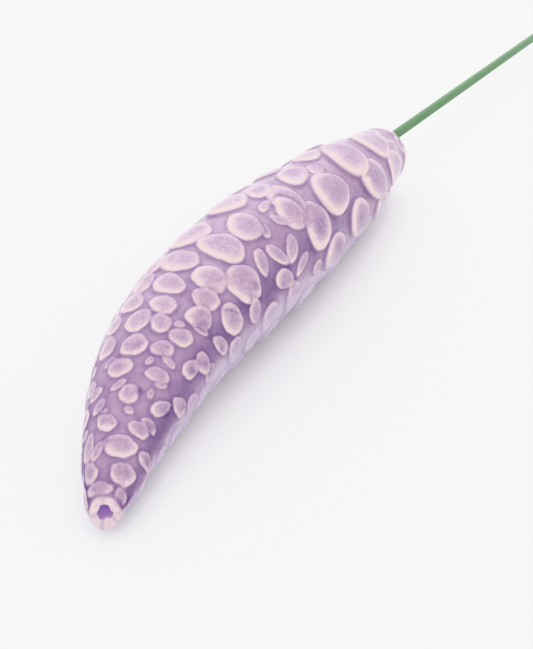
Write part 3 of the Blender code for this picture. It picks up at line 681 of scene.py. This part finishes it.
def tip_lumps(points, kind, bearing):
    """Pinched look of the tip: the hollow lies high in it with three corners, and its lip has soft lumps.

    Its corners and its raise fade out over the lip, and the lumps along the first millimetres of the skin.
    """
    reach = np.hypot(points[..., 1], points[..., 2])
    outer = float(skin_radius(np.array(0.0)))
    tip = (kind <= LIP)[:, None]
    inner = np.where(tip, 1.0 - ease((reach - HOLLOW_RADIUS) / (outer - HOLLOW_RADIUS)), 0.0)
    corners = HOLLOW_CORNERS * np.cos(3.0 * bearing) * inner
    near = np.where(tip, 1.0, 1.0 - ease(points[..., 0] / LUMPS_LENGTH))
    waves = sum(share * np.cos(count * bearing - start) for count, start, share in LIP_WAVES)
    lumps = LIP_LUMPS * waves * near
    shift = np.zeros_like(points)
    shift[..., 1] = points[..., 1] * corners
    shift[..., 2] = points[..., 2] * corners + HOLLOW_RAISE * inner
    shift[..., 0] = -lumps * np.clip(reach / HOLLOW_RADIUS, 0.0, 1.0) ** 3
    return shift * (points[..., :1] < 0.5 * HEAD_LENGTH)


def settle_spike(points, kind):
    """Bend the straight spike on to its axis, turn its boss into the stem's line and set it on the surface."""
    s, y, z = points[..., 0], points[..., 1], points[..., 2]
    centre, side, up = axis_frame(s)
    nudge = TIP_NUDGE * ease(1.0 - s / TIP_NUDGE_LENGTH)
    bent = centre + (y - nudge)[..., None] * side + z[..., None] * up
    straight = stem_place(s - HEAD_LENGTH, y, z)
    radius = np.hypot(y, z)
    to_stem = ease((BOSS_BLEND - radius) / (BOSS_BLEND - BOSS_RADIUS)) * (s > HEAD_LENGTH)
    to_stem = np.where((kind == SOCKET)[:, None], 1.0, to_stem)[..., None]
    placed = (1.0 - to_stem) * bent + to_stem * straight
    placed[..., 2] = np.maximum(placed[..., 2], 0.0)
    return placed


class Shade:
    """A shader value of one material, so that shader maths reads as Python: its operators add Math nodes."""

    def __init__(self, tree, output=None):
        self.tree = tree
        self.output = output

    def node(self, kind, settings=None, sockets=None, result=0):
        """Add a node of a kind, set its settings, feed its sockets with numbers or values, give one output."""
        node = self.tree.nodes.new(kind)
        for name, value in (settings or {}).items():
            setattr(node, name, value)
        for name, value in (sockets or {}).items():
            if isinstance(value, Shade):
                self.tree.links.new(value.output, node.inputs[name])
            else:
                node.inputs[name].default_value = value
        return Shade(self.tree, node.outputs[result])

    def maths(self, operation, *others):
        """A Math node on this value and others."""
        sockets = dict(enumerate((self,) + others))
        return self.node("ShaderNodeMath", {"operation": operation}, sockets)

    def __add__(self, other):
        return self.maths("ADD", other)

    __radd__ = __add__

    def __mul__(self, other):
        return self.maths("MULTIPLY", other)

    __rmul__ = __mul__

    def __sub__(self, other):
        return self.maths("SUBTRACT", other)

    def __rsub__(self, other):
        return self * -1.0 + other

    def __rpow__(self, other):
        return self.node("ShaderNodeMath", {"operation": "POWER"}, {0: other, 1: self})

    def mixed(self, share, other):
        """This colour gone over to another by a share."""
        return self.node("ShaderNodeMix", {"data_type": "RGBA"}, {0: share, 6: self, 7: other}, 2)

    def step(self, low, high):
        """Smooth step of this value from low to high."""
        return self.node(
            "ShaderNodeMapRange", {"interpolation_type": "SMOOTHSTEP"},
            {"Value": self, "From Min": low, "From Max": high},
        )


def new_material(name):
    """An empty material with a Principled shader: the material, a start for its values, and the shader node."""
    material = bpy.data.materials.new(name)
    material.use_nodes = True
    tree = material.node_tree
    return material, Shade(tree), tree.nodes["Principled BSDF"]


def noise(start, scale, detail, roughness):
    """Noise between 0 and 1 over the piece's own place, its grains 1 / scale metres wide."""
    place = start.node("ShaderNodeTexCoord", result="Object")
    return start.node(
        "ShaderNodeTexNoise", None,
        {"Vector": place, "Scale": scale, "Detail": detail, "Roughness": roughness}, "Fac",
    )


def feed(shader, name, value):
    """Feed one socket of a shader with a value."""
    value.tree.links.new(value.output, shader.inputs[name])


def glaze_material(glaze):
    """Lilac glaze over pale clay: the clay's colour times e^(-absorption * depth) in each channel.

    The depth is the ground's glaze outside the discs and the disc's own on them, mottled by two noises and
    crackled on the discs. Their edge is drawn sharp by the grain. The painted sheen, a painted reflection of the
    surface on the belly and a painted highlight on the tip, and the hollow's tint lie over it.
    """
    material, start, shader = new_material("lilac_glaze_over_clay")
    ground, disc, face, painted_sheen, hollow = (
        start.node("ShaderNodeAttribute", {"attribute_name": name}, None, "Fac")
        for name in ("ground_glaze", "disc_glaze", "disc_face", "painted_sheen", "hollow")
    )
    grain, cloud, crackle = (noise(start, *look) for look in (GRAIN, CLOUD, CRACKLE))
    crisp = (face + (grain - 0.5) * EDGE_GRAIN).step(*EDGE_STEP)
    thickness = ground + (disc - ground) * crisp
    mottle = 1.0 + (cloud - 0.5) * CLOUD_SHARE + (grain - 0.5) * (GRAIN_SHARE + face)
    depth = thickness * mottle + crisp * crackle.step(*CRACKLE_STEP) * CRACKLE_COATS
    channels = [
        (1.0 / math.e) ** (depth * absorbed) * clay
        for absorbed, clay in zip(glaze.absorption, glaze.clay)
    ]
    colour = start.node("ShaderNodeCombineColor", None, dict(zip(("Red", "Green", "Blue"), channels)), "Color")
    # The painted sheen paints a pale bluish reflection on the belly and a highlight on the tip; the hollow's
    # tint is the glaze's own.
    for share, tint in ((painted_sheen, glaze.painted_sheen), (hollow, glaze.hollow)):
        colour = colour.mixed(share * (0.7 + cloud * 0.6), (*tint, 1.0))
    feed(shader, "Base Color", colour)
    feed(shader, "Roughness", glaze.roughness + (grain - 0.3) * 0.06)
    ripple = noise(start, *RIPPLE) * 0.6 + grain * 0.25 * face
    bump = start.node("ShaderNodeBump", None, {"Height": ripple, "Strength": 0.5, "Distance": 0.00012}, "Normal")
    feed(shader, "Normal", bump)
    shader.inputs["IOR"].default_value = 1.5
    shader.inputs["Specular IOR Level"].default_value = 0.38
    return material


def coating_material(wire):
    """Satin green plastic: a soft drawn grain, and paler scuffs."""
    material, start, shader = new_material("green_wire_coating")
    cloud = noise(start, 240.0, 3.0, 0.6)
    scuff = noise(start, 1400.0, 2.0, 0.5).step(0.62, 0.75)
    shade = 0.9 + cloud * 0.2 + scuff * 0.25
    channels = [shade * part for part in wire.coating]
    colour = start.node("ShaderNodeCombineColor", None, dict(zip(("Red", "Green", "Blue"), channels)), "Color")
    feed(shader, "Base Color", colour)
    feed(shader, "Roughness", 0.36 + scuff * 0.15)
    bump = start.node("ShaderNodeBump", None, {"Height": cloud, "Strength": 0.3, "Distance": 0.00008}, "Normal")
    feed(shader, "Normal", bump)
    return material


def steel_material():
    """Plain drawn steel wire, its cut end a little rough."""
    material, start, shader = new_material("steel_wire")
    cloud = noise(start, 2600.0, 3.0, 0.6)
    channels = [0.42 + cloud * part for part in (0.2, 0.2, 0.19)]
    colour = start.node("ShaderNodeCombineColor", None, dict(zip(("Red", "Green", "Blue"), channels)), "Color")
    feed(shader, "Base Color", colour)
    feed(shader, "Roughness", 0.3 + cloud * 0.3)
    shader.inputs["Metallic"].default_value = 1.0
    return material


def glue_material():
    """Cured adhesive: slightly cloudy and glossy."""
    material, start, shader = new_material("cured_glue")
    cloud = noise(start, 900.0, 3.0, 0.6)
    channels = [part + cloud * 0.12 for part in (0.4, 0.37, 0.34)]
    colour = start.node("ShaderNodeCombineColor", None, dict(zip(("Red", "Green", "Blue"), channels)), "Color")
    feed(shader, "Base Color", colour)
    feed(shader, "Roughness", 0.22 + cloud * 0.15)
    return material


def floor_material(stage):
    """Matt white surface with a barely uneven tone."""
    material, start, shader = new_material("white_surface")
    cloud = noise(start, 6.0, 2.0, 0.5)
    channels = [part - cloud * 0.01 for part in stage.floor]
    colour = start.node("ShaderNodeCombineColor", None, dict(zip(("Red", "Green", "Blue"), channels)), "Color")
    feed(shader, "Base Color", colour)
    shader.inputs["Roughness"].default_value = 0.9
    shader.inputs["Specular IOR Level"].default_value = 0.2
    return material


class LAVENDER_PG_glaze(bpy.types.PropertyGroup):
    """Glaze of the spike."""

    coat: FloatProperty(
        name="Coat", description="Thickness of the glaze on flat clay", default=0.24 * MM, unit="LENGTH",
    )
    clay: FloatVectorProperty(
        name="Clay", description="Colour of the bare clay", default=(0.65, 0.538, 0.518), subtype="COLOR",
    )
    absorption: FloatVectorProperty(
        name="Absorption", description="Light that a coat of glaze takes out of each channel",
        default=(0.7, 0.89, 0.46),
    )
    # Colour of the painted sheen: a painted reflection of the white surface on the belly and a painted highlight
    # on the tip.
    painted_sheen: FloatVectorProperty(
        name="Milk", description="Colour of the milky glaze on the belly",
        default=(0.43, 0.4, 0.58), subtype="COLOR",
    )
    hollow: FloatVectorProperty(
        name="Hollow", description="Colour of the pool in the tip", default=(0.24, 0.11, 0.38), subtype="COLOR",
    )
    roughness: FloatProperty(
        name="Roughness", description="Roughness of the glaze", default=0.12, subtype="FACTOR",
    )


class LAVENDER_PG_wire(bpy.types.PropertyGroup):
    """Wire stem."""

    coating: FloatVectorProperty(
        name="Coating", description="Colour of the plastic coating",
        default=(0.105, 0.205, 0.105), subtype="COLOR",
    )
    sides: IntProperty(name="Sides", description="Facets round the wire", default=40, min=8)
    corner: FloatProperty(
        name="Corner", description="Rounding of the cut end", default=0.12 * MM, unit="LENGTH",
    )


class LAVENDER_PG_stage(bpy.types.PropertyGroup):
    """Surface and light."""

    floor: FloatVectorProperty(
        name="Surface", description="Colour of the surface", default=(0.84, 0.84, 0.84), subtype="COLOR",
    )
    floor_size: FloatProperty(
        name="Surface size", description="Side of the surface", default=4.0, unit="LENGTH",
    )
    sky: FloatProperty(name="Sky", description="Strength of the white surroundings", default=1.45)
    key: FloatProperty(name="Key", description="Power of the soft light", default=5.8, unit="POWER")
    key_size: FloatProperty(name="Key size", description="Side of the soft light", default=1.3, unit="LENGTH")


class LAVENDER_OT_spike(bpy.types.Operator):
    """Build the glazed ceramic spike with its clay discs"""

    bl_idname = "lavender.spike"
    bl_label = "Glazed spike"

    def execute(self, context):
        glaze = context.scene.lavender_glaze
        points, kind, fields = spike_surface(glaze.coat)
        placed = settle_spike(points, kind)
        flat = placed[1:-1].reshape(-1, 3)
        points = np.concatenate([placed[:1, 0], flat, placed[-1:, 0]])
        fields = {
            name: np.concatenate([values[:1, 0], values[1:-1].ravel(), values[-1:, 0]])
            for name, values in fields.items()
        }
        quads = grid_quads(len(kind), AROUND)
        piece = mesh_piece("glazed_spike", points, quads, "ceramic_spike", fields)
        piece.data.materials.append(glaze_material(glaze))
        return {"FINISHED"}


def turned_sleeve(name, outline, sides, node):
    """A closed (radius, way) outline turned round the stem: point = way d + r sin(b) side + r cos(b) up."""
    radius, along = (np.array(column)[:, None] for column in zip(*outline))
    bearing = np.linspace(0.0, 2.0 * math.pi, sides, endpoint=False)[None, :]
    placed = stem_place(along + 0.0 * bearing, radius * np.sin(bearing), radius * np.cos(bearing))
    ids = np.arange(len(outline) * sides).reshape(len(outline), sides)
    below, turned = np.roll(ids, -1, axis=0), np.roll(ids, -1, axis=1)
    quads = np.stack([ids, turned, np.roll(below, -1, axis=1), below], axis=-1).reshape(-1, 4)
    return mesh_piece(name, placed.reshape(-1, 3), quads, node, {})


def stem_mouth():
    """Place of the socket's mouth along the stem's axis, from the station of the base end."""
    return float(spike_rows()[4]) - HEAD_LENGTH


class LAVENDER_OT_stem(bpy.types.Operator):
    """Build the green coating of the wire and the steel core inside it"""

    bl_idname = "lavender.stem"
    bl_label = "Wire stem"

    def execute(self, context):
        wire = context.scene.lavender_wire
        start = stem_mouth() - SOCKET_DEPTH + SOCKET_SPARE
        end = CAP_LENGTH + STEM_LENGTH
        turn = np.linspace(0.0, math.pi / 2.0, CORNER_STEPS)
        corner = wire.corner
        shoulder = COATING_RADIUS - corner
        outline = [(COATING_BORE, start), (shoulder, start), (COATING_RADIUS, start + corner)]
        outline += [(shoulder + corner * math.cos(a), end - corner + corner * math.sin(a)) for a in turn]
        outline += [(COATING_BORE, end)]
        coating = turned_sleeve("wire_coating", outline, wire.sides, "stem_coating")
        coating.data.materials.append(coating_material(wire))
        coating.data.set_sharp_from_angle(angle=SHARP_FROM)
        tip = end + CORE_PROUD
        rim = CORE_RADIUS - CORE_BURR
        outline = [(0.0, start), (CORE_RADIUS, start), (CORE_RADIUS, tip - CORE_BURR)]
        outline += [
            (rim + CORE_BURR * math.cos(a), tip - CORE_BURR + CORE_BURR * math.sin(a)) for a in turn[1:]
        ]
        outline += [(0.0, tip)]
        core = core_rod("wire_core", outline, wire.sides)
        core.data.materials.append(steel_material())
        core.data.set_sharp_from_angle(angle=SHARP_FROM)
        return {"FINISHED"}


def core_rod(name, outline, sides):
    """A solid rod along the stem from an outline that starts and ends on its axis."""
    radius, along = (np.array(column)[:, None] for column in zip(*outline))
    bearing = np.linspace(0.0, 2.0 * math.pi, sides, endpoint=False)[None, :]
    placed = stem_place(along + 0.0 * bearing, radius * np.sin(bearing), radius * np.cos(bearing))
    points = np.concatenate([placed[:1, 0], placed[1:-1].reshape(-1, 3), placed[-1:, 0]])
    return mesh_piece(name, points, grid_quads(len(outline), sides), "stem_core", {})


class LAVENDER_OT_glue(bpy.types.Operator):
    """Build the adhesive in the socket and its bead round the wire"""

    bl_idname = "lavender.glue"
    bl_label = "Glue"

    def execute(self, context):
        mouth = stem_mouth()
        inner = COATING_RADIUS + GLUE_GAP
        outer = SOCKET_RADIUS - GLUE_GAP
        foot = mouth + GLUE_GAP
        turns = np.linspace(0.0, math.pi / 2.0, BEAD_STEPS)
        bead = [(inner + (BEAD_RADIUS - inner) * math.cos(a), foot + BEAD_HEIGHT * math.sin(a)) for a in turns]
        outline = [(inner, mouth - GLUE_LENGTH), (outer, mouth - GLUE_LENGTH), (outer, foot)] + bead
        sides = context.scene.lavender_wire.sides
        glue = turned_sleeve("glue_bead", outline, sides, "glue_plug")
        glue.data.materials.append(glue_material())
        glue.data.set_sharp_from_angle(angle=SHARP_FROM)
        return {"FINISHED"}


class LAVENDER_OT_stage(bpy.types.Operator):
    """Lay the pale surface and set the light and the camera"""

    bl_idname = "lavender.stage"
    bl_label = "Stage"

    def execute(self, context):
        stage = context.scene.lavender_stage
        add_floor(stage)
        add_light(stage)
        add_camera()
        view = context.scene.view_settings
        view.view_transform = "Khronos PBR Neutral"
        view.look = "None"
        return {"FINISHED"}


def add_floor(stage):
    """A level square surface under the spike."""
    half = 0.5 * stage.floor_size
    mesh = bpy.data.meshes.new("surface")
    corners = [(-half, -half, 0.0), (half, -half, 0.0), (half, half, 0.0), (-half, half, 0.0)]
    mesh.from_pydata(corners, [], [(0, 1, 2, 3)])
    floor = bpy.data.objects.new("surface", mesh)
    bpy.context.scene.collection.objects.link(floor)
    mesh.materials.append(floor_material(stage))


def add_light(stage):
    """White surroundings and one large soft light on the outer side of the bend."""
    world = bpy.data.worlds.new("white_surroundings")
    world.use_nodes = True
    world.node_tree.nodes["Background"].inputs["Color"].default_value = (1.0, 1.0, 1.0, 1.0)
    world.node_tree.nodes["Background"].inputs["Strength"].default_value = stage.sky
    bpy.context.scene.world = world
    lamp = bpy.data.lights.new("soft_light", "AREA")
    lamp.shape = "SQUARE"
    lamp.size = stage.key_size
    lamp.energy = stage.key
    thing = bpy.data.objects.new("soft_light", lamp)
    target = Vector(LIGHT_TARGET)
    thing.location = target + Vector(LIGHT_OFFSET)
    thing.rotation_euler = (target - thing.location).to_track_quat("-Z", "Y").to_euler()
    bpy.context.scene.collection.objects.link(thing)


def add_camera():
    """Camera at the photo's place: it stands off the base end by the distances found from the photo."""
    heading = HEAD_YAW - HEAD_TURN
    base_end = np.array([STEM_OFFSET * math.sin(HEAD_TURN), -STEM_OFFSET * math.cos(HEAD_TURN)]) + SHIFT[:2]
    away = np.array([-CAMERA_SIDEWAYS, -CAMERA_AHEAD])
    turn = np.array([[math.cos(heading), math.sin(heading)], [-math.sin(heading), math.cos(heading)]])
    place = base_end + turn @ away
    azimuth = math.pi / 2.0 - heading
    level = math.cos(CAMERA_PITCH)
    ahead = Vector((math.cos(azimuth) * level, math.sin(azimuth) * level, -math.sin(CAMERA_PITCH)))
    data = bpy.data.cameras.new("camera")
    data.sensor_width = SENSOR_WIDTH
    data.lens = LENS
    data.clip_start = MM
    camera = bpy.data.objects.new("camera", data)
    camera.location = (place[0], place[1], CAMERA_HEIGHT)
    camera.rotation_euler = ahead.to_track_quat("-Z", "Y").to_euler()
    bpy.context.scene.collection.objects.link(camera)
    bpy.context.scene.camera = camera


class LAVENDER_PT_panel(bpy.types.Panel):
    """Sizes, colours and steps of the lavender spike"""

    bl_label = "Lavender spike"
    bl_idname = "LAVENDER_PT_panel"
    bl_space_type = "VIEW_3D"
    bl_region_type = "UI"
    bl_category = "Lavender"

    def draw(self, context):
        for group in (context.scene.lavender_glaze, context.scene.lavender_wire, context.scene.lavender_stage):
            box = self.layout.box()
            for name in group.__annotations__:
                box.prop(group, name)
        for operator in STEPS:
            self.layout.operator(operator.bl_idname)


STEPS = (LAVENDER_OT_spike, LAVENDER_OT_stem, LAVENDER_OT_glue, LAVENDER_OT_stage)
GROUPS = {
    "lavender_glaze": LAVENDER_PG_glaze, "lavender_wire": LAVENDER_PG_wire, "lavender_stage": LAVENDER_PG_stage,
}
CLASSES = tuple(GROUPS.values()) + STEPS + (LAVENDER_PT_panel,)


def register():
    """Register the classes and hang the property groups on the scene."""
    for item in CLASSES:
        bpy.utils.register_class(item)
    for name, group in GROUPS.items():
        setattr(bpy.types.Scene, name, PointerProperty(type=group))


def unregister():
    """Take the property groups and the classes away again."""
    for name in GROUPS:
        delattr(bpy.types.Scene, name)
    for item in reversed(CLASSES):
        bpy.utils.unregister_class(item)


def main():
    """Build every piece and the stage."""
    register()
    bpy.ops.lavender.spike()
    bpy.ops.lavender.stem()
    bpy.ops.lavender.glue()
    bpy.ops.lavender.stage()


if __name__ == "__main__":
    main()
